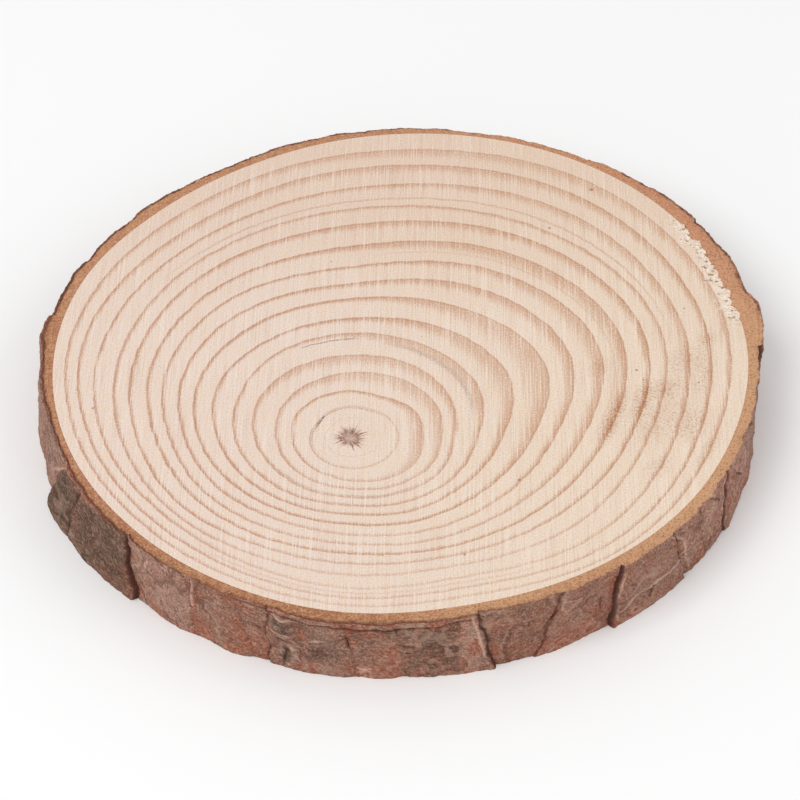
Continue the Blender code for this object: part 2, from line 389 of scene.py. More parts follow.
def woodReach(angle):
    # distance from the pith to the wood's side, found by a dozen steps that end on it
    x0, y0 = stem["pith"]
    reach = 0.0
    for _ in range(12):
        x = x0 + reach * math.cos(angle)
        y = y0 + reach * math.sin(angle)
        reach += woodEdge(math.degrees(math.atan2(y, x))) - math.hypot(x, y)
    return reach


def ringRadii(angle):
    # the pith, every ring's edge, and the wood's side, in one direction
    direction = math.degrees(angle)
    return [0.0] + [around(ring[0], direction) for ring in rings] + [woodReach(angle)]


def bandLook(index, angle):
    # the width and the strength of a ring's dark band
    if index >= len(rings):
        return wood["thinBand"], 0.0
    widest, middle, spread, back, front = rings[index][1:]
    direction = math.degrees(angle)
    share = math.exp(-(turnBetween(direction, middle) / spread) ** 2)
    forwards = math.exp(-(turnBetween(direction, wood["frontMiddle"]) / wood["frontSpread"]) ** 4)
    strength = (back + (front - back) * forwards) * (1 - 0.12 * share * widest ** 0.7)
    return wood["thinBand"] + (widest - wood["thinBand"]) * share, strength


def stainAt(angle, ringPlace):
    amount = 0.0
    for direction, middle, halfWidth, halfHeight, depth in stains:
        across = turnBetween(math.degrees(angle), direction) / halfWidth
        reach = math.hypot(across, (ringPlace - middle) / halfHeight)
        amount += depth * (1 - smoothStep(0.2, 1.2, reach))
    return min(1.0, amount)


def fringeAt(x, y):
    # 1 in the torn fibres along the wood's edge
    direction = math.degrees(math.atan2(y, x))
    fromEdge = woodEdge(direction) - math.hypot(x, y)
    ragged = wood["fringeDepth"] * (0.8 + 0.4 * noise.noise(Vector((x * 0.5, y * 0.5, 3.0))))
    return tornShare(direction) * (1 - smoothStep(0.7, 1.1, fromEdge / ragged))


def pithStar(angle):
    # how far the hollow at the pith reaches, uneven like a star
    ray = abs(math.sin(wood["pithRays"] * angle / 2 + 2.0 * math.sin(angle)))
    uneven = noise.noise(Vector((3.1 * math.cos(angle), 3.1 * math.sin(angle), 0.5)))
    return wood["pithRadius"] * (0.75 + 0.55 * ray ** 2 + 0.5 * uneven)


def buildWood(material):
    first = wood["rowsInFirstRing"]
    places = [k / first for k in range(first + 1)]
    for ring in range(1, len(rings) + 1):
        places += [ring + (k + 1) / wood["rowsPerRing"] for k in range(wood["rowsPerRing"])]
    last = places[-1]
    # The rows run out over the top, down the side and back in underneath
    rows = [("top", place) for place in places]
    rows += [("side", (k + 1) / (wood["sideRows"] + 1)) for k in range(wood["sideRows"])]
    rows += [("under", place) for place in places[::-1]]
    bm = sheetMesh(wood["columns"], len(rows) - 1)
    names = ("ring", "ringWidth", "band", "strength", "stain", "fringe")
    values = {name: bm.verts.layers.float.new(name) for name in names}
    looks = []
    for column in range(wood["columns"]):
        angle = 2 * math.pi * column / wood["columns"]
        bands = [bandLook(k, angle) for k in range(len(rings) + 1)]
        looks.append((angle, ringRadii(angle), pithStar(angle), bands))
    for vert in bm.verts:
        column, row = sheetPlace(vert, wood["columns"], len(rows) - 1)
        angle, radii, star, bands = looks[column % wood["columns"]]
        kind, place = rows[row]
        height = {"top": thickness, "side": thickness * (1 - place), "under": 0.0}[kind]
        place = last if kind == "side" else place
        index = min(len(radii) - 2, max(0, math.ceil(place) - 1))
        width = radii[index + 1] - radii[index]
        distance = radii[index] + width * (place - index)
        if kind != "side":
            hollow = wood["pithDepth"] * (1 - smoothStep(0.4 * star, star, distance))
            height += hollow if kind == "under" else -hollow
        x = stem["pith"][0] + distance * math.cos(angle)
        y = stem["pith"][1] + distance * math.sin(angle)
        vert.co = (x, y, height)
        vert[values["ring"]] = place
        vert[values["ringWidth"]] = width
        vert[values["band"]], vert[values["strength"]] = bands[index]
        vert[values["stain"]] = stainAt(angle, place) * height / thickness
        vert[values["fringe"]] = fringeAt(x, y) * height / thickness
    piece = finishPiece("growth_ring_wood", bm, material, wood["sharpAngle"])
    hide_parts("wood")
    return piece


def fromPith(tree, place):
    # the direction from the pith as a flat vector of length 1, and the distance
    offset = vectorMaths(tree, "SUBTRACT", place, (*stem["pith"], 0.0))
    flat = vectorMaths(tree, "MULTIPLY", offset, (1.0, 1.0, 0.0))
    return vectorMaths(tree, "NORMALIZE", flat), vectorMaths(tree, "LENGTH", flat, output="Value")


def arcMask(tree, unit, middle, halfWidth):
    # 1 in a stretch of directions about the pith
    angle = math.radians(middle)
    along = vectorMaths(tree, "DOT_PRODUCT", unit, (math.cos(angle), math.sin(angle), 0.0), "Value")
    low, high = (math.cos(math.radians(halfWidth * share)) for share in (1.15, 0.7))
    return fade(tree, along, low, high)


def speckMask(tree, place):
    # 1 in the small dark specks of the top face
    total = 0.0
    for direction, distance, radius in specks:
        angle = math.radians(direction)
        x = stem["pith"][0] + distance * math.cos(angle)
        y = stem["pith"][1] + distance * math.sin(angle)
        gap = vectorMaths(tree, "DISTANCE", place, (x, y, thickness), "Value")
        total = maths(tree, "ADD", total, fade(tree, gap, radius * 1.3, radius * 0.3))
    return total


def makeWoodFinish():
    paints = wood["paints"]
    material, tree, shader = newMaterial("sawnPine", wood["roughness"], wood["specular"])
    place = pieceMillimetres(tree)
    marks = placeGroup(tree, sawMarks, Vector=place, Lean=math.radians(wood["sawLean"]))
    crossMarks = placeGroup(tree, sawMarks, Vector=place, Lean=math.radians(wood["crossLean"]))
    grains = placeGroup(tree, grit, Vector=place, Scale=wood["grainScale"])
    scratch, band, grain = marks.outputs["Mask"], marks.outputs["Broad"], grains.outputs["Grain"]
    unit, distance = fromPith(tree, place)
    ringWidth = ownValue(tree, "ringWidth")
    strength = ownValue(tree, "strength")

    # Distance inwards from the ring's dark edge: crisp outside, streaky inside
    wander = times(tree, maths(tree, "SUBTRACT", cloud(tree, place, 0.5, 3.0), 0.5), 0.5)
    ringPlace = maths(tree, "ADD", ownValue(tree, "ring"), maths(tree, "DIVIDE", wander, ringWidth))
    past = maths(tree, "FRACT", ringPlace)
    inwards = times(tree, maths(tree, "SUBTRACT", 1.0, past), ringWidth)
    fuzz = fade(tree, scratch, 0.35, 0.65, (0.8, 1.3))
    share = maths(tree, "DIVIDE", times(tree, inwards, fuzz), ownValue(tree, "band"))
    soft = fade(tree, times(tree, past, ringWidth), 0.16, 0.0, (0.0, 0.8))
    late = maths(tree, "MAXIMUM", fade(tree, share, 1.2, 0.25), soft)
    late = times(tree, late, fade(tree, scratch, 0.46, 0.64, (1.1, 0.6)))
    late = times(tree, late, fade(tree, grain, 0.35, 0.6, (0.75, 1.15)))
    late = times(tree, late, strength, clamp=True)
    core = times(tree, fade(tree, inwards, 0.42, 0.1), strength)
    core = times(tree, core, fade(tree, scratch, 0.42, 0.62, (1.0, 0.5)))

    # Pale wood, cooler on the slow side and warmer on the fast side
    axes = tree.nodes.new("ShaderNodeSeparateXYZ")
    feed(tree, axes.inputs[0], place)
    drift = times(tree, cloud(tree, place, 0.05), 40.0)
    warm = fade(tree, maths(tree, "ADD", axes.outputs["X"], drift), -5.0, 55.0)
    backwards = maths(tree, "ADD", axes.outputs["Y"], drift)
    pale = coats(tree, mixPaint(tree, warm, paint(*paints["pale"]), paint(*paints["paleWarm"])), (
        (cloud(tree, place, 0.7, 3.0), 0.45, 0.62, 0.4, paints["cream"]),
        (backwards, 20.0, 62.0, 0.5, paints["back"]),
    ))
    dark = mixPaint(tree, warm, paint(*paints["late"]), paint(*paints["lateWarm"]))
    colour = mixPaint(tree, times(tree, late, 0.88), pale, dark)
    colour = coat(tree, colour, times(tree, core, 0.6), paints["core"])

    # Scratches, grain, and the fine lines between the rings, the cracks among them painted as lines of
    # shade
    colour = coats(tree, colour, (
        (scratch, 0.5, 0.7, 0.35, (244, 229, 217)),
        (scratch, 0.48, 0.3, 0.42, (204, 172, 154)),
        (crossMarks.outputs["Mask"], 0.52, 0.7, 0.14, (246, 230, 218)),
        (band, 0.5, 0.75, 0.25, (222, 192, 170)),
        (grain, 0.52, 0.72, 0.55, (202, 168, 148)),
        (grain, 0.48, 0.28, 0.45, (250, 238, 228)),
    ))
    for ringNumber, width, most, middle, halfWidth, kind in fineLines:
        gap = maths(tree, "ABSOLUTE", maths(tree, "SUBTRACT", ringPlace, ringNumber))
        line = fade(tree, times(tree, gap, ringWidth), width, 0.0, (0.0, most))
        line = times(tree, line, arcMask(tree, unit, middle, halfWidth))
        line = times(tree, line, fade(tree, grain, 0.35, 0.55, (0.3, 1.0)))
        colour = coat(tree, colour, line, paints[kind])

    # Stains, in a soft wash, streaks along the rings and darker freckles, then specks
    stain = ownValue(tree, "stain")
    wash = fade(tree, cloud(tree, place, 0.9, 3.0, 0.6), 0.38, 0.6, (0.15, 0.45))
    broken = fade(tree, cloud(tree, place, 2.6, 3.0, 0.7), 0.4, 0.58)
    streak = times(tree, fade(tree, share, 0.75, 0.2), broken)
    blotch = times(tree, stain, maths(tree, "ADD", wash, streak, clamp=True))
    colour = coat(tree, colour, times(tree, blotch, 0.85), paints["stain"])
    freckle = fade(tree, cloud(tree, place, 3.0, 2.0, 0.6), 0.5, 0.64, (0.0, 0.75))
    freckle = times(tree, maths(tree, "POWER", stain, 0.7), freckle)
    colour = coat(tree, colour, freckle, paints["freckle"])
    colour = coat(tree, colour, times(tree, speckMask(tree, place), 0.75, clamp=True), paints["speck"])

    # Torn fibres: whitish, with painted shade in their holes, and brown gaps
    torn = ownValue(tree, "fringe")
    curl = cloud(tree, place, 1.7, 1.0)
    white = fade(tree, cloud(tree, place, 0.9, 3.0), 0.35, 0.6, (0.25, 0.85))
    gapLine = fade(tree, maths(tree, "ABSOLUTE", maths(tree, "SUBTRACT", curl, 0.52)), 0.05, 0.0)
    holes = fade(tree, cloud(tree, place, 1.5, 2.0), 0.43, 0.38)
    fibres = ((white, 1.0, "tornWhite"), (gapLine, 0.7, "tornGap"), (holes, 0.8, "tornHoleShade"))
    for mask, most, name in fibres:
        colour = coat(tree, colour, times(tree, times(tree, torn, mask), most), paints[name])

    # The pith: a fuzzy brown star, paler in its middle, with a few long rays
    rays = cloud(tree, vectorMaths(tree, "SCALE", unit, 4.5), 1.0, 3.0, 0.7)
    reach = fade(tree, rays, 0.3, 0.75, (0.8, 3.4))
    star = fade(tree, maths(tree, "DIVIDE", distance, reach), 1.05, 0.55)
    star = times(tree, star, fade(tree, distance, 0.2, 1.4, (0.3, 1.0)))
    star = times(tree, star, fade(tree, grain, 0.35, 0.58, (0.35, 1.0)))
    colour = coat(tree, colour, fade(tree, distance, 2.0, 0.8, (0.0, 0.6)), paints["pithHalo"])
    colour = coat(tree, colour, star, paints["pithStar"])
    feed(tree, shader.inputs["Base Color"], colour)
    height = maths(tree, "ADD", times(tree, scratch, 0.6), times(tree, grain, 0.4))
    height = maths(tree, "ADD", height, times(tree, times(tree, torn, curl), 1.2))
    addBump(tree, shader, height, *wood["bump"])
    return material


buildWood(makeWoodFinish())

# Bark plates in order round the ring: the direction of the first edge at the cut and at the foot,
# how far the plate stands out at its start and at its end, the share of that it keeps at the cut,
# its look: how olive, how red and how dusty it is, and how much it flakes, and how deep the groove
# at its first edge is
plates = (
    (2.5, 1.0, 0.6, 1.0, 1.0, 0.1, 0.3, 0.7, 0.5, 0.06),
    (13.5, 14.5, 0.1, 0.2, 0.5, 0.1, 0.6, 0.4, 1.2, 0.03),
    (24.0, 23.0, 0.2, 0.1, 0.5, 0.0, 0.6, 0.4, 1.2, 0.03),
    (170.5, 171.5, 0.3, 0.8, 1.0, 0.2, 0.5, 0.4, 1.0, 0.05),
    (177.5, 176.5, 0.0, 0.2, 0.5, 0.1, 0.2, 0.8, 0.5, 0.03),
    (184.0, 182.5, 0.3, 0.1, 0.5, 0.1, 0.1, 1.0, 0.3, 0.03),
    (193.0, 191.0, -0.1, 0.0, 0.5, 0.2, 0.1, 0.9, 0.3, 0.02),
    (205.5, 199.0, 1.3, 1.3, 0.15, 1.0, 0.0, 0.0, 0.6, 0.02),
    (211.3, 208.8, 1.1, 0.6, 0.15, 0.9, 0.1, 0.0, 0.6, 0.04),
    (223.8, 225.6, -0.3, 0.3, 0.8, 0.0, 0.2, 0.9, 0.4, 0.12),
    (236.3, 237.2, -0.1, 0.4, 0.5, 0.2, 0.6, 0.2, 0.5, 0.03),
    (243.4, 247.6, -0.3, -0.2, 0.8, 0.18, 0.9, 0.2, 0.8, 0.02),
    (249.4, 249.4, 0.1, 0.2, 0.5, 0.5, 0.3, 0.4, 1.4, 0.05),
    (254.4, 254.8, 0.4, 0.3, 0.5, 0.35, 0.4, 0.4, 0.5, 0.02),
    (261.6, 262.6, 0.0, 0.2, 0.5, 0.2, 0.9, 0.3, 0.8, 0.03),
    (268.8, 269.8, 0.0, 0.4, 0.5, 0.45, 0.5, 0.2, 0.8, 0.02),
    (280.3, 283.5, -0.3, 0.0, 0.6, 0.22, 0.35, 0.3, 0.3, 0.1),
    (294.4, 289.6, 0.2, -0.3, 1.0, 0.0, 0.5, 0.5, 0.4, 0.05),
    (304.6, 303.2, 0.6, 0.5, 0.5, 0.1, 0.3, 0.6, 0.4, 0.06),
    (315.4, 319.2, 0.0, 0.4, 0.6, 0.0, 0.4, 0.5, 0.8, 0.1),
    (322.6, 324.8, 0.3, 0.1, 0.5, 0.0, 0.5, 0.6, 1.2, 0.05),
    (331.6, 331.0, 0.4, 0.1, 0.5, 0.0, 0.5, 0.6, 1.0, 0.06),
    (343.4, 340.6, 0.1, 0.1, 0.5, 0.1, 0.2, 0.9, 0.5, 0.06),
    (352.0, 351.5, -0.1, -0.2, 0.5, 0.1, 0.2, 0.9, 0.5, 0.03),
)
# Knots, loose scales and hollows: direction, height, half width in degrees, half height, rise
scales = (
    (196.0, 3.0, 3.0, 2.6, 0.1),
    (203.5, 2.6, 3.0, 2.2, 0.4),
    (230.0, 2.2, 2.5, 1.8, 0.15),
    (251.6, 7.6, 1.7, 1.9, 0.35),
    (252.6, 2.6, 1.5, 2.2, 0.2),
    (270.6, 5.2, 1.6, 1.1, 0.25),
    (265.4, 1.6, 2.2, 1.4, -0.2),
    (297.0, 1.2, 4.6, 1.3, -0.15),
    (307.6, 2.1, 4.2, 2.2, -0.3),
    (314.0, 1.7, 3.0, 1.8, -0.2),
    (326.6, 8.2, 2.6, 1.4, 0.3),
    (336.4, 5.6, 2.2, 2.0, -0.3),
)
# Cracks: two ends as direction and height, then the width and the depth
cracks = (
    (211.4, 9.3, 210.6, 7.0, 0.35, 0.25), (209.3, 5.4, 208.6, 0.2, 0.35, 0.3),
    (210.6, 7.0, 209.3, 5.4, 0.25, 0.15), (213.4, 5.0, 214.6, 3.2, 0.25, 0.15),
    (226.2, 3.0, 228.0, 0.0, 0.25, 0.15), (233.6, 3.5, 235.0, 1.0, 0.2, 0.15),
    (247.0, 6.2, 248.4, 5.0, 0.5, 0.4), (250.8, 5.2, 253.4, 4.4, 0.35, 0.3),
    (252.6, 3.6, 251.8, 0.6, 0.3, 0.3), (253.6, 3.4, 253.2, 1.6, 0.25, 0.2),
    (261.2, 7.6, 261.8, 5.4, 0.35, 0.3), (268.5, 9.2, 268.6, 8.2, 0.3, 0.2),
    (269.0, 5.8, 271.4, 5.9, 0.25, 0.25), (269.2, 4.6, 271.6, 4.5, 0.25, 0.25),
    (294.0, 8.0, 291.2, 4.6, 0.25, 0.2), (301.0, 6.0, 301.2, 3.0, 0.3, 0.2),
    (311.2, 3.5, 310.8, 1.5, 0.3, 0.25), (325.2, 9.8, 328.8, 7.4, 0.3, 0.3),
    (335.4, 7.0, 338.8, 4.4, 0.35, 0.3), (341.8, 4.2, 342.2, 2.4, 0.3, 0.25),
    (343.4, 9.9, 345.8, 8.2, 0.5, 0.5), (322.6, 9.7, 322.3, 8.6, 0.3, 0.3),
    (243.6, 9.6, 250.5, 9.2, 0.25, 0.2), (250.0, 9.2, 257.5, 9.0, 0.3, 0.25),
    (257.0, 9.1, 264.0, 8.8, 0.3, 0.25), (262.5, 8.8, 269.0, 8.7, 0.45, 0.35),
    (268.0, 8.9, 275.0, 9.0, 0.3, 0.25), (274.0, 9.0, 281.0, 9.4, 0.25, 0.2),
    (198.0, 9.4, 205.0, 9.3, 0.2, 0.15), (205.0, 9.3, 212.0, 9.5, 0.2, 0.15),
)
# Lines where a flake's thin edge stands up, raised and painted with a highlight: two ends as direction and
# height
highlitEdges = (
    (206.2, 9.8, 198.8, 4.0), (236.8, 9.5, 236.9, 5.0), (252.6, 5.0, 254.4, 1.6),
    (279.8, 9.8, 282.4, 0.6), (294.9, 9.5, 294.0, 7.0), (315.0, 9.6, 318.0, 7.4),
    (318.0, 7.4, 319.2, 4.0), (319.2, 4.0, 317.4, 1.4), (331.0, 9.0, 330.6, 5.5),
    (330.6, 5.5, 331.6, 1.6), (305.2, 9.0, 303.8, 4.4), (303.8, 4.4, 303.9, 1.4),
    (256.0, 5.8, 258.0, 6.4), (304.9, 1.8, 308.4, 3.4), (321.0, 4.6, 325.0, 7.2),
    (325.0, 7.2, 326.6, 9.6), (335.0, 8.6, 337.0, 5.4), (341.0, 7.6, 341.6, 3.2),
    (262.8, 1.7, 264.8, 0.9), (263.2, 0.8, 265.0, 1.6), (250.4, 9.0, 253.2, 8.8),
    (250.0, 6.4, 252.6, 5.8), (254.0, 3.8, 252.9, 0.9), (228.6, 9.0, 227.6, 6.2),
    (308.4, 3.4, 314.9, 3.8), (314.9, 3.8, 319.0, 4.4), (319.2, 4.0, 320.2, 0.8),
)
# Patches of colour: direction, height, half width in degrees, half height, then more olive, red, dust
patches = (
    (237.6, 5.5, 1.2, 5.0, 0.0, 0.8, 0.0), (241.5, 6.0, 1.6, 4.0, 0.0, -0.3, 0.3),
    (246.4, 8.0, 2.2, 1.9, 0.0, 0.7, 0.0), (248.0, 2.4, 1.4, 1.8, 0.0, 0.8, 0.0),
    (258.0, 1.0, 4.4, 1.5, -0.3, 0.8, 0.2), (263.8, 1.8, 0.9, 1.2, 0.0, 0.0, 0.9),
    (279.6, 5.0, 2.0, 6.0, -0.6, 0.5, 0.7), (296.0, 1.4, 4.6, 1.5, 0.0, 1.0, 0.0),
    (299.9, 3.2, 1.3, 3.4, 0.0, 1.0, 0.0), (303.5, 6.0, 1.0, 4.0, 0.0, 0.8, -0.3),
    (334.0, 5.0, 2.6, 4.5, 0.0, 0.4, 0.0), (210.0, 10.0, 8.0, 0.9, -0.8, 0.4, 0.4),
    (266.0, 8.0, 3.0, 2.4, 0.3, -0.3, 0.0), (275.0, 6.0, 3.2, 3.5, 0.3, -0.3, 0.0),
    (251.6, 7.6, 1.7, 1.8, 0.25, -0.6, 0.0), (252.4, 2.6, 1.3, 2.4, 0.3, -0.6, 0.0),
    (254.6, 5.6, 1.2, 1.3, 0.0, 0.7, 0.0), (249.2, 3.4, 1.2, 2.0, 0.0, 0.8, 0.0),
    (284.6, 1.8, 2.6, 1.8, 0.0, 0.9, -0.5), (258.0, 5.0, 2.6, 3.4, 0.15, -0.5, 0.1),
    (249.0, 9.7, 7.0, 0.8, -0.6, 0.7, 0.2), (262.0, 9.6, 8.0, 0.8, -0.6, 0.7, 0.2),
    (274.0, 9.7, 7.0, 0.8, -0.6, 0.7, 0.2),
)

bark = {
    "seed": 11,
    "seededAfter": 2,                 # the far side's plates come after this one
    "seededWidth": (7.0, 15.0),
    "seededLean": 2.5,
    "seededStand": (-0.2, 0.6),
    "seededTopShare": 0.5,
    "seededScales": 16,
    "seededScaleArc": (20.0, 180.0),
    "seededScaleHalfWidth": (1.5, 4.0),
    "seededScaleHalfHeight": (1.0, 2.4),
    "seededScaleRises": (-0.3, -0.2, 0.2, 0.3),
    "seededCracks": 20,
    "chip": (32.0, 26.0, 0.4),        # middle, half width and depth of the broken rim
    "dome": 0.15,
    "stepGroove": 0.05,               # grooves from this depth on are real steps, others blend
    "blend": 1.3,                     # how far a flush edge takes to blend
    "seamInsets": (0.06, 0.15, 0.3),  # columns beside each seam, which shape the plate's edge
    "seamWaves": ((0.2, 0.5, 2.4), (0.1, 1.3, 4.1)),    # degrees, turn with height and with each seam
    "seamStray": 0.55,                # degrees that a seam strays at random
    "ripple": 0.05,
    "rippleWaves": ((61, 1.3, 0.0), (37, -2.1, 1.0)),   # waves round the ring, turn with height, start
    "rough": 0.08,                    # fine unevenness of the face
    "edgeRise": 0.08,                 # how far a flake's edge stands up, where a highlight is also painted
    "lineStray": 0.12,                # how far cracks and pale edges stray from their lines
    "degreesPerColumn": 0.315,
    "insideRows": 3,
    "cutRows": 14,
    "faceRows": 54,
    "underRows": 6,
    "tuck": 0.05,                     # how far the ring's inner face reaches inside the wood's edge
    "flakeLayers": 2.6,
    "flakeStep": 0.07,
    "scalesPerMm": 0.17,
    "scaleStep": 0.06,
    "scaleDraws": ((12.9, 78.2, 37.7), (39.3, 11.1, 83.1), (71.7, 26.3, 9.1)),
    "nearScales": 7,                  # how many degrees round a scale, a line or a patch it can show
    "nearLines": 9,
    "nearPatches": 12,
    "sharpAngle": 50.0,
    "sawLean": -4.0,
    "grainScale": 3.8,
    "roughness": 0.85,
    "specular": 0.25,
    "bump": (0.7, 0.25),              # strength, and depth in millimetres
    "paints": {
        "brown": (127, 85, 66),
        "tawny": (148, 105, 84),
        "dust": (163, 127, 112),
        "olive": (62, 54, 41),
        "red": (155, 92, 70),
        "glint": (195, 158, 138),
        # painted highlight on raised edges
        "edge": (210, 172, 152),
        # painted shade in grooves, cracks and seams
        "groove": (80, 43, 34),
        "inner": (204, 159, 120),
        "innerRed": (203, 141, 109),
        "innerDark": (152, 98, 66),
        "gap": (98, 54, 38),
    },
    # share of the ring's width that is inner bark, for every 20 degrees
    "innerShare": (1.0, 0.93, 0.93, 1.0, 0.95, 0.9, 0.9, 0.9, 0.85,
                   0.75, 0.62, 0.75, 0.95, 0.8, 0.85, 1.0, 1.0, 1.0),
    # its colour there, from 0, golden, to 1, reddish, and then how dark it is
    "innerRed": (0.2, 0.8, 1.0, 0.8, 0.6, 0.7, 0.7, 0.7, 0.7,
                 0.8, 0.9, 0.9, 0.7, 0.6, 0.3, 0.3, 0.2, 0.2),
    "innerDark": (0.05, 0.05, 0.1, 0.2, 0.25, 0.4, 0.4, 0.35, 0.4,
                  0.65, 0.6, 0.7, 0.75, 0.8, 0.3, 0.35, 0.1, 0.1),
    # how dark the lines between its layers are
    "gapDark": (0.4, 0.8, 0.8, 0.4, 0.3, 0.3, 0.3, 0.3, 0.5,
                0.9, 1.0, 0.8, 0.7, 0.9, 0.6, 0.3, 0.2, 0.2),
}


def allPlates(rng, looks):
    first = plates[bark["seededAfter"]]
    last = plates[bark["seededAfter"] + 1]
    seeded = []
    place = first[0] + rng.uniform(*bark["seededWidth"])
    while place < last[0] - bark["seededWidth"][0]:
        lean = rng.uniform(-bark["seededLean"], bark["seededLean"])
        start = rng.uniform(*bark["seededStand"])
        end = rng.uniform(*bark["seededStand"])
        look = (looks.choice((0.0, 0.1, 0.3, 0.6)), looks.uniform(0.1, 0.7), looks.uniform(0.2, 0.9),
                looks.uniform(0.4, 1.2), looks.choice((0.02, 0.03, 0.05, 0.09)))
        seeded.append((place, place + lean, start, end, bark["seededTopShare"], *look))
        place += rng.uniform(*bark["seededWidth"])
    return plates[:bark["seededAfter"] + 1] + tuple(seeded) + plates[bark["seededAfter"] + 1:]


def allScales(rng):
    first, last = bark["seededScaleArc"]
    seeded = []
    for k in range(bark["seededScales"]):
        direction = first + (last - first) * (k + rng.random()) / bark["seededScales"]
        halfWidth = rng.uniform(*bark["seededScaleHalfWidth"])
        halfHeight = rng.uniform(*bark["seededScaleHalfHeight"])
        height = rng.uniform(halfHeight, thickness - halfHeight)
        seeded.append((direction, height, halfWidth, halfHeight, rng.choice(bark["seededScaleRises"])))
    return scales + tuple(seeded)


def allCracks(looks):
    first, last = bark["seededScaleArc"]
    seeded = []
    for k in range(bark["seededCracks"]):
        direction = first + (last - first) * (k + looks.random()) / bark["seededCracks"]
        height = looks.uniform(1.0, 9.0)
        end = direction + looks.uniform(-2.5, 2.5)
        foot = height - looks.uniform(1.0, 4.0)
        width = looks.uniform(0.25, 0.4)
        seeded.append((direction, height, end, foot, width, looks.uniform(0.15, 0.3)))
    return cracks + tuple(seeded)


def seam(ring, index, height):
    # the direction of a plate's first edge at one height
    turns, place = divmod(index, len(ring))
    top, foot = ring[place][:2]
    stray = sum(size * math.sin(lean * height + step * place) for size, lean, step in bark["seamWaves"])
    stray += bark["seamStray"] * noise.fractal(Vector((place * 7.3, height * 0.45, 0.7)), 0.9, 2.1, 4)
    return foot + (top - foot) * height / thickness + stray + 360.0 * turns


def barkColumns(ring):
    # each column's plate, its place across it from 0 on the seam to 1, and how far its seam is
    columns = []
    insets = bark["seamInsets"]
    for index in range(len(ring)):
        first = seam(ring, index, thickness / 2)
        turn = seam(ring, index + 1, thickness / 2) - first
        width = math.radians(turn) * around(stem["barkFoot"], first)
        inner = insets[-1] / width
        count = max(2, round(turn / bark["degreesPerColumn"]) - 2 * len(insets))
        places = [0.0] + [inset / width for inset in insets[:-1]]
        places += [inner + (1 - 2 * inner) * k / (count - 1) for k in range(count)]
        places += [1 - inset / width for inset in insets[-2::-1]]
        columns += [(index, place, min(place, 1 - place) * width) for place in places]
    return columns


def plateStand(ring, index, across, fromSeam, height):
    # how far the bark stands out from the stem's outline, and how strongly painted shade darkens its seam
    start, end, share = ring[index][2:5]
    up = height / thickness
    dome = bark["dome"] * 4 * across * (1 - across)
    stand = (start + (end - start) * across + dome) * (1 + (share - 1) * up)
    if across < 0.5:
        before, beforeShare = ring[index - 1][3:5]
        beside = before * (1 + (beforeShare - 1) * up)
        groove = ring[index][9]
    else:
        after, _, afterShare = ring[(index + 1) % len(ring)][2:5]
        beside = after * (1 + (afterShare - 1) * up)
        groove = ring[(index + 1) % len(ring)][9]
    if groove < bark["stepGroove"]:
        stand += (beside - stand) / 2 * (1 - smoothStep(0.0, bark["blend"], fromSeam))
        stand -= groove * (1 - smoothStep(0.0, 0.2, fromSeam))
        return stand, 8 * groove
    bottom = min(stand, beside) - groove
    rounding = smoothStep(0.0, bark["seamInsets"][-1], fromSeam) ** 0.5
    drop = smoothStep(0.0, 0.3, stand - beside)
    return bottom + (stand - bottom) * rounding, min(1.0, 6 * groove + 0.6 * drop)


def sortedRound(items, reach):
    # the items near each whole direction, which saves looking at all of them at every point
    near = [[] for _ in range(360)]
    for item in items:
        for turn in range(-reach, reach + 1):
            near[(math.floor(item[0]) + turn) % 360].append(item)
    return near


def scaleRise(found, direction, height):
    # how far the knots and loose scales raise a point, and the mask of the painted highlight on their edges
    rise, edge = 0.0, 0.0
    for middle, level, halfWidth, halfHeight, amount in found[int(direction % 360)]:
        across = turnBetween(direction, middle) / halfWidth
        if abs(across) < 1.2:
            uneven = 0.12 * noise.noise(Vector((direction * 0.9, height * 0.9, level)))
            reach = math.hypot(across, (height - level) / halfHeight) + uneven
            rise += amount * smoothStep(1.0, 0.7, reach)
            edge = max(edge, 1 - abs(reach - 0.95) / 0.12)
    return rise, edge


def lineNear(found, direction, height, radius):
    # the nearest line: how far it is, which grows towards the line's thin ends, and its other values
    best, extra = 9.0, ()
    for start, startHeight, end, endHeight, *rest in found[int(direction % 360)]:
        turn = math.radians(turnBetween(direction, start)) * radius
        run = math.radians(end - start) * radius
        up = height - startHeight
        rise = endHeight - startHeight
        t = min(1.0, max(0.0, (turn * run + up * rise) / (run * run + rise * rise)))
        gap = math.hypot(turn - t * run, up - t * rise)
        gap /= 0.35 + 0.65 * math.sqrt(max(0.0, 1 - abs(2 * t - 1)))
        if gap < best:
            best, extra = gap, rest
    return best, extra


def chip(direction):
    # how much of the rim has broken off
    middle, halfWidth, depth = bark["chip"]
    offset = turnBetween(direction, middle) / halfWidth
    return depth * math.cos(math.pi / 2 * offset) ** 2 if abs(offset) < 1 else 0.0


def flakes(point, amount):
    # thin layers that end in small steps, and the mask of the painted highlight on the steps' edges
    layers = bark["flakeLayers"]
    level = layers * (noise.fractal(point * 0.33, 1.0, 2.1, 3) + 1.0)
    part = level - math.floor(level)
    rise = math.floor(level) + smoothStep(0.8, 1.0, part)
    edge = smoothStep(0.72, 0.88, part) * (1 - smoothStep(0.94, 1.0, part))
    return bark["flakeStep"] * amount * (rise - layers), edge * min(1.0, amount)


def thinScale(point):
    # the thin scale that a point lies on: three random numbers of its own from -1 to 1, and how far
    # its edge is
    bent = point * bark["scalesPerMm"] + noise.noise_vector(point * 0.4) * 0.35
    distances, centres = noise.voronoi(bent)
    own = [math.sin(centres[0].dot(Vector(draw)) * 43.7) for draw in bark["scaleDraws"]]
    return own, (distances[1] - distances[0]) / bark["scalesPerMm"] / 2


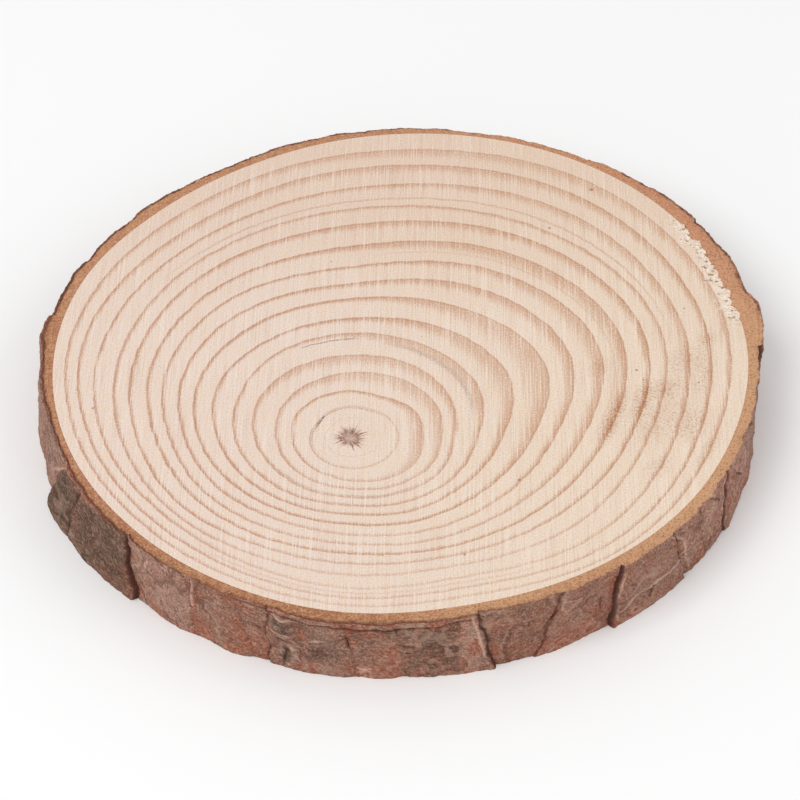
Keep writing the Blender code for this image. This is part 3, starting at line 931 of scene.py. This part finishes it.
def barkRows():
    # the rows run up inside, out over the cut, down the face and back in underneath
    inside = [("inside", k / bark["insideRows"]) for k in range(1, bark["insideRows"])]
    cut = [("cut", k / bark["cutRows"]) for k in range(bark["cutRows"])]
    face = [("face", k / (bark["faceRows"] - 1)) for k in range(bark["faceRows"])]
    under = [("under", k / bark["underRows"]) for k in range(1, bark["underRows"] + 1)]
    return inside + cut + face + under


def crumbled(kind, outwards, up, direction, cutPoint, innerShare, isInner):
    # how much of the height is lost on the cut and along the rim
    if kind == "face":
        return (0.12 + 0.1 * noise.noise(cutPoint * 2.4) + chip(direction)) * max(0.0, 2 * up - 1)
    if outwards == 0:
        return 0.0
    crumb = 0.5 + 0.5 * noise.fractal(cutPoint * 2.4, 0.6, 2.1, 3)
    line = 1 - smoothStep(0.0, 0.12, abs(outwards - innerShare - 0.03))
    step = 0.05 + 0.1 * crumb * outwards + 0.12 * (1 - isInner) + 0.2 * line * (innerShare < 0.93)
    return step + chip(direction) * outwards ** 2 * (0.7 + 0.5 * crumb)


def plateTones(look, own, kind, fromSeam, direction, height, point, near):
    # how olive, how red and how dusty a point is, redder near seams, at the foot and on the cut
    rusty = 0.35 * (1 - smoothStep(0.3, 2.2, fromSeam)) + 0.6 * (1 - smoothStep(0.6, 2.8, height))
    rusty *= 0.9 + 0.9 * noise.noise(point * 0.45)
    rusty = rusty * (1 - 0.85 * look[0]) + 0.5 * (kind != "face")
    olive = (look[0] + 0.2 * own[1] * look[0]) * (1 - 0.6 * min(1.0, max(0.0, rusty)))
    red = look[1] + 0.2 * own[2] + rusty
    dust = look[2] + 0.15 * own[0]
    for middle, place, halfWidth, halfHeight, moreOlive, moreRed, moreDust in near:
        offset = turnBetween(direction, middle) / halfWidth
        if abs(offset) < 1.3:
            reach = math.hypot(offset, (height - place) / halfHeight) + 0.3 * noise.noise(point * 0.9)
            amount = 1 - smoothStep(0.6, 1.1, reach)
            olive += moreOlive * amount
            red += moreRed * amount
            dust += moreDust * amount
    return [min(1.0, max(0.0, tone)) for tone in (olive, red, dust)]


def buildBark(material):
    rng = random.Random(bark["seed"])
    looks = random.Random(bark["seed"] + 1)
    # Without a seed of its own, noise_vector takes its offsets from the clock
    noise.seed_set(bark["seed"])
    ring = allPlates(rng, looks)
    foundScales = sortedRound(allScales(rng), bark["nearScales"])
    foundCracks = sortedRound(allCracks(looks), bark["nearLines"])
    foundEdges = sortedRound(highlitEdges, bark["nearLines"])
    foundPatches = sortedRound(patches, bark["nearPatches"])
    columns = barkColumns(ring)
    rows = barkRows()
    bm = sheetMesh(len(columns), len(rows))
    names = ("olive", "red", "dust", "groove", "edge", "inner", "innerRed", "innerDark", "gap")
    values = {name: bm.verts.layers.float.new(name) for name in names}
    low, high = (corner / mm for corner in cadBox)
    for vert in bm.verts:
        column, row = sheetPlace(vert, len(columns), len(rows))
        index, across, fromSeam = columns[column % len(columns)]
        kind, share = rows[row % len(rows)]
        outwards = {"inside": 0.0, "cut": share, "face": 1.0, "under": 1 - share}[kind]
        height = {"inside": share, "cut": 1.0, "face": 1 - share, "under": 0.0}[kind] * thickness
        onFace = 1.0 if kind == "face" else 0.0
        up = height / thickness
        # Seams lean outside, while the inner face runs straight up
        level = thickness / 2 + (height - thickness / 2) * outwards
        start, end = seam(ring, index, level), seam(ring, index + 1, level)
        direction = start + (end - start) * across
        rim = around(stem["barkFoot"], direction) * (1 - up) + around(stem["barkTop"], direction) * up
        angle = math.radians(direction)
        unit = Vector((math.cos(angle), math.sin(angle), 0.0))
        point = unit * rim + Vector((0.0, 0.0, height))

        # How far out the face lies, from the plate down to its finest scales
        stand, seamShading = plateStand(ring, index, across, fromSeam, height)
        rise, scaleEdge = scaleRise(foundScales, direction, height)
        look = ring[index][5:]
        flake, flakeEdge = flakes(point, look[3])
        own, scaleGap = thinScale(point)
        scaleGap += 0.1 * noise.noise(point * 2.4)
        rise += bark["scaleStep"] * own[0] * smoothStep(0.0, 0.25, scaleGap)
        border = 1 - smoothStep(0.05, 0.3, scaleGap)
        stray = bark["lineStray"] * noise.noise(point * 2.2)
        crackGap, crackValues = lineNear(foundCracks, direction, height, rim)
        groove = 0.0
        if crackValues:
            groove = 1 - smoothStep(0.0, crackValues[0], crackGap + stray)
            rise -= crackValues[1] * groove
        edgeGap, _ = lineNear(foundEdges, direction, height, rim)
        lifted = 1 - smoothStep(0.05, 0.28, edgeGap + stray)
        rough = bark["rough"] * noise.fractal(point * 1.6, 0.6, 2.1, 3)
        ripple = sum(bark["ripple"] * math.sin(waves * angle + turn * height + first)
                     for waves, turn, first in bark["rippleWaves"])
        outer = rim + stand + rise + ripple + flake + rough + bark["edgeRise"] * lifted

        # The cut between the wood and the face
        inner = woodEdge(direction) - bark["tuck"]
        radius = inner + (outer - inner) * outwards
        cutPoint = unit * radius
        innerShare = around(bark["innerShare"], direction) + 0.12 * noise.noise(cutPoint * 0.8)
        innerShare += 0.1 * noise.noise(cutPoint * 2.3)
        isInner = 1 - smoothStep(innerShare - 0.06, innerShare + 0.06, outwards)
        step = crumbled(kind, outwards, up, direction, cutPoint, innerShare, isInner)
        vert.co = unit * radius + Vector((0.0, 0.0, height - step if up > 0.5 else height + step))
        vert.co = [min(h, max(l, c)) for l, c, h in zip(low, vert.co, high)]

        # What the finish reads from each point
        near = foundPatches[int(direction % 360)]
        tones = plateTones(look, own, kind, fromSeam, direction, height, point, near)
        # painted shade along each seam, strongest at real steps
        seamShade = (1 - smoothStep(0.08, 0.38, fromSeam)) * onFace * seamShading
        # painted highlight on flake steps, knot edges and the rims of some thin scales
        standingHighlight = max(0.52 * flakeEdge, 0.35 * scaleEdge, 0.43 * border * max(0.0, own[1]))
        layers = smoothStep(0.45, 0.8, math.sin(26 * outwards + 5 * noise.noise(cutPoint * 0.6)))
        gap = max(smoothStep(0.2, 0.0, abs(outwards - innerShare - 0.03)), layers * outwards ** 2)
        for name, tone in zip(("olive", "red", "dust"), tones):
            vert[values[name]] = tone
        # painted shade in the cracks, along the seams and on the rims of some thin scales
        vert[values["groove"]] = max(groove, seamShade, 0.6 * border * max(0.0, -own[1]) * onFace)
        # painted highlight along the raised edges of the face
        vert[values["edge"]] = max(lifted, standingHighlight) * onFace
        vert[values["inner"]] = {"inside": 1.0, "cut": isInner, "face": 0.0, "under": isInner}[kind]
        vert[values["innerRed"]] = around(bark["innerRed"], direction)
        vert[values["innerDark"]] = around(bark["innerDark"], direction)
        vert[values["gap"]] = gap * around(bark["gapDark"], direction) * (kind != "face")
    piece = finishPiece("flaky_bark_ring", bm, material, bark["sharpAngle"])
    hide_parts("bark")
    return piece


def makeBarkFinish():
    paints = bark["paints"]
    material, tree, shader = newMaterial("pineBark", bark["roughness"], bark["specular"])
    place = pieceMillimetres(tree)
    marks = placeGroup(tree, sawMarks, Vector=place, Lean=math.radians(bark["sawLean"]))
    grains = placeGroup(tree, grit, Vector=place, Scale=bark["grainScale"])
    scratch, grain, clump = marks.outputs["Mask"], grains.outputs["Grain"], grains.outputs["Clump"]
    patch = cloud(tree, place, 0.35, 4.0, 0.6)
    olive, dust = ownValue(tree, "olive"), ownValue(tree, "dust")

    # Outer bark: brown, then dust, olive and red where the plate has them
    colour = mixPaint(tree, fade(tree, patch, 0.35, 0.65), paint(*paints["brown"]), paint(*paints["tawny"]))
    colour = coat(tree, colour, times(tree, dust, fade(tree, patch, 0.3, 0.6, (0.55, 1.0))), paints["dust"])
    mossy = fade(tree, cloud(tree, place, 0.5, 4.0, 0.6), 0.35, 0.55, (0.68, 1.0))
    colour = coat(tree, colour, times(tree, olive, mossy), paints["olive"])
    ruddy = fade(tree, cloud(tree, stretched(tree, place, (1.0, 1.0, 0.6)), 0.6, 1.5), 0.3, 0.66)
    colour = coat(tree, colour, times(tree, ownValue(tree, "red"), ruddy), paints["red"])

    # Dark clumps, glints that are brighter on dust and fainter on olive, and dark grains
    colour = coats(tree, colour, ((clump, 0.45, 0.3, 0.35, (84, 56, 44)),))
    glints = times(tree, fade(tree, grain, 0.5, 0.68), fade(tree, dust, 0.3, 1.0, (0.52, 0.75)))
    glints = times(tree, glints, fade(tree, olive, 0.2, 1.0, (1.0, 0.45)))
    colour = coat(tree, colour, glints, paints["glint"])
    colour = coats(tree, colour, ((grain, 0.48, 0.3, 0.6, (66, 43, 35)),))
    # Painted highlight on raised edges, then painted shade in grooves, cracks and seams
    for name, most in (("edge", 0.88), ("groove", 0.92)):
        colour = coat(tree, colour, times(tree, ownValue(tree, name), most), paints[name])

    # Inner bark on the cut: a crumbly tan, with saw scratches
    tan = mixPaint(tree, ownValue(tree, "innerRed"), paint(*paints["inner"]), paint(*paints["innerRed"]))
    tan = coat(tree, tan, ownValue(tree, "innerDark"), paints["innerDark"])
    tan = coats(tree, tan, (
        (clump, 0.45, 0.65, 0.4, (208, 160, 118)),
        (grain, 0.5, 0.7, 0.6, (222, 174, 134)),
        (grain, 0.48, 0.3, 0.65, (128, 80, 54)),
        (scratch, 0.5, 0.8, 0.25, (222, 184, 156)),
    ))
    colour = mixPaint(tree, ownValue(tree, "inner"), colour, tan)
    colour = coat(tree, colour, times(tree, ownValue(tree, "gap"), 0.75), paints["gap"])
    feed(tree, shader.inputs["Base Color"], colour)
    addBump(tree, shader, maths(tree, "ADD", grain, times(tree, clump, 1.5)), *bark["bump"])
    return material


buildBark(makeBarkFinish())

# The room: a plain pale floor, a soft sky and two wide lamps
studio = {
    "floorSize": 3.0,             # metres
    "floorDrop": 0.02,            # keeps the floor just clear of the underside
    "floorTone": 0.92,
    "floorRoughness": 0.9,
    "sky": 0.68,
    "key": ((-0.45, -0.35, 0.75), 0.6, 3.9),      # place and size in metres, power in watts
    "fill": ((0.7, -0.2, 0.5), 0.7, 1.2),
}


def buildStudio():
    place = (0.0, 0.0, -studio["floorDrop"] * mm)
    bpy.ops.mesh.primitive_plane_add(size=studio["floorSize"], location=place)
    floor = bpy.context.object
    floor.name = "floor"
    material, _, shader = newMaterial("paleFloor", studio["floorRoughness"])
    shader.inputs["Base Color"].default_value = [studio["floorTone"]] * 3 + [1.0]
    floor.data.materials.append(material)
    world = bpy.data.worlds.new("studio")
    world.use_nodes = True
    sky = world.node_tree.nodes["Background"]
    sky.inputs["Color"].default_value = (1.0, 1.0, 1.0, 1.0)
    sky.inputs["Strength"].default_value = studio["sky"]
    bpy.context.scene.world = world
    for name in ("key", "fill"):
        place, size, power = studio[name]
        lamp = bpy.data.lights.new(name, "AREA")
        lamp.size = size
        lamp.energy = power
        lampObject = bpy.data.objects.new(name, lamp)
        lampObject.location = place
        lampObject.rotation_euler = (-Vector(place)).to_track_quat("-Z", "Y").to_euler()
        bpy.context.scene.collection.objects.link(lampObject)
    bpy.context.scene.view_settings.view_transform = "Standard"


camera = {
    "target": (-0.69, -3.59, 5.0),
    "elevation": 43.6,            # degrees
    "distance": 393.3,
    "lens": 135.0,
    "sensor": 36.0,
    "nearest": 0.01,              # metres from the lens from which things show
}


def buildCamera():
    data = bpy.data.cameras.new("camera")
    data.lens = camera["lens"]
    data.sensor_width = camera["sensor"]
    data.clip_start = camera["nearest"]
    eye = bpy.data.objects.new("camera", data)
    slope = math.radians(camera["elevation"])
    back = Vector((0.0, -math.cos(slope), math.sin(slope)))
    eye.location = (Vector(camera["target"]) + back * camera["distance"]) * mm
    eye.rotation_euler = (math.radians(90.0) - slope, 0.0, 0.0)
    bpy.context.scene.collection.objects.link(eye)
    bpy.context.scene.camera = eye


buildStudio()
buildCamera()
print("studio ready")
